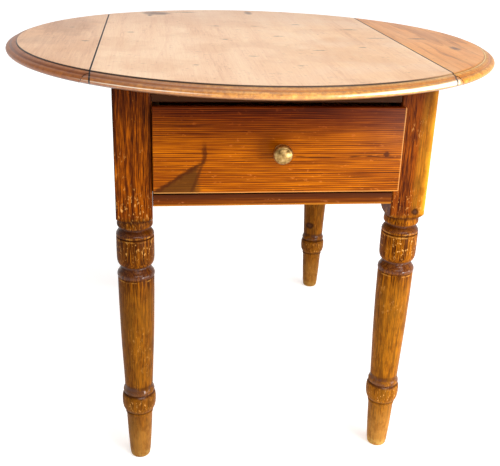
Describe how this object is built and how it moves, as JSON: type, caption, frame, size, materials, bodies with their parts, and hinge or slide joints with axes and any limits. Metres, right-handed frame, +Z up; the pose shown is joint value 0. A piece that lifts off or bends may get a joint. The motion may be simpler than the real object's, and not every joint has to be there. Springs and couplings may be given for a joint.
{
  "type": "drop leaf table",
  "caption": "Round pine table on turned legs, with hinged leaves on rule joints, swinging brackets that hold them up, and a drawer with a knob.",
  "frame": {"origin": "on the floor, under the middle of the round top", "axes": "+Z up, +X to the right seen from the drawer side, -Y towards the drawer side"},
  "size_m": [0.97, 0.97, 0.745],
  "materials": {
    "top_pine": "waxed old pine, golden brown with a pale peach sheen",
    "leg_pine": "waxed old pine, orange brown with reddish grain",
    "front_pine": "waxed old pine, fine level grain",
    "bracket_pine": "dark stained pine",
    "inner_pine": "bare pine, unpolished",
    "brass": "aged brass, dulled",
    "iron": "dark iron with light rust"
  },
  "bodies": {
    "frame": {"centre_board": "top_pine", "front_left_leg": "leg_pine", "front_right_leg": "leg_pine", "back_left_leg": "leg_pine", "back_right_leg": "leg_pine", "lower_drawer_rail": "front_pine", "upper_drawer_rail": "front_pine", "back_apron": "leg_pine", "left_side_apron": "leg_pine", "left_drawer_runner": "inner_pine", "left_drawer_guide": "inner_pine", "left_drawer_kicker": "inner_pine", "left_drawer_stop": "inner_pine", "left_fly_rail": "bracket_pine", "left_bracket_pin": "iron", "front_left_top_block": "inner_pine", "front_left_hinge_plate": "iron", "front_left_hinge_pin": "iron", "back_left_top_block": "inner_pine", "back_left_hinge_plate": "iron", "back_left_hinge_pin": "iron", "right_side_apron": "leg_pine", "right_drawer_runner": "inner_pine", "right_drawer_guide": "inner_pine", "right_drawer_kicker": "inner_pine", "right_drawer_stop": "inner_pine", "right_fly_rail": "bracket_pine", "right_bracket_pin": "iron", "front_right_top_block": "inner_pine", "front_right_hinge_plate": "iron", "front_right_hinge_pin": "iron", "back_right_top_block": "inner_pine", "back_right_hinge_plate": "iron", "back_right_hinge_pin": "iron"},
    "left_leaf": {"left_leaf": "top_pine", "front_left_leaf_plate": "iron", "back_left_leaf_plate": "iron"},
    "right_leaf": {"right_leaf": "top_pine", "front_right_leaf_plate": "iron", "back_right_leaf_plate": "iron"},
    "left_bracket": {"left_bracket": "bracket_pine"},
    "right_bracket": {"right_bracket": "bracket_pine"},
    "drawer": {"drawer_front": "front_pine", "drawer_left_side": "inner_pine", "drawer_right_side": "inner_pine", "drawer_back": "inner_pine", "drawer_bottom": "inner_pine", "knob": "brass", "knob_bolt": "iron"}
  },
  "joints": [
    {"name": "left_leaf_hinge", "type": "hinge", "parent": "frame", "child": "left_leaf", "pos_m": [-0.302, 0, 0.725], "axis": [0, -1, 0], "range_deg": [0, 90]},
    {"name": "right_leaf_hinge", "type": "hinge", "parent": "frame", "child": "right_leaf", "pos_m": [0.302, 0, 0.725], "axis": [0, 1, 0], "range_deg": [0, 90]},
    {"name": "left_bracket_swing", "type": "hinge", "parent": "frame", "child": "left_bracket", "pos_m": [-0.257, 0.04, 0.634], "axis": [0, 0, 1], "range_deg": [-90, 0]},
    {"name": "right_bracket_swing", "type": "hinge", "parent": "frame", "child": "right_bracket", "pos_m": [0.257, -0.04, 0.634], "axis": [0, 0, 1], "range_deg": [-90, 0]},
    {"name": "drawer_slide", "type": "slide", "parent": "frame", "child": "drawer", "axis": [0, -1, 0], "range_m": [0, 0.36]}
  ]
}
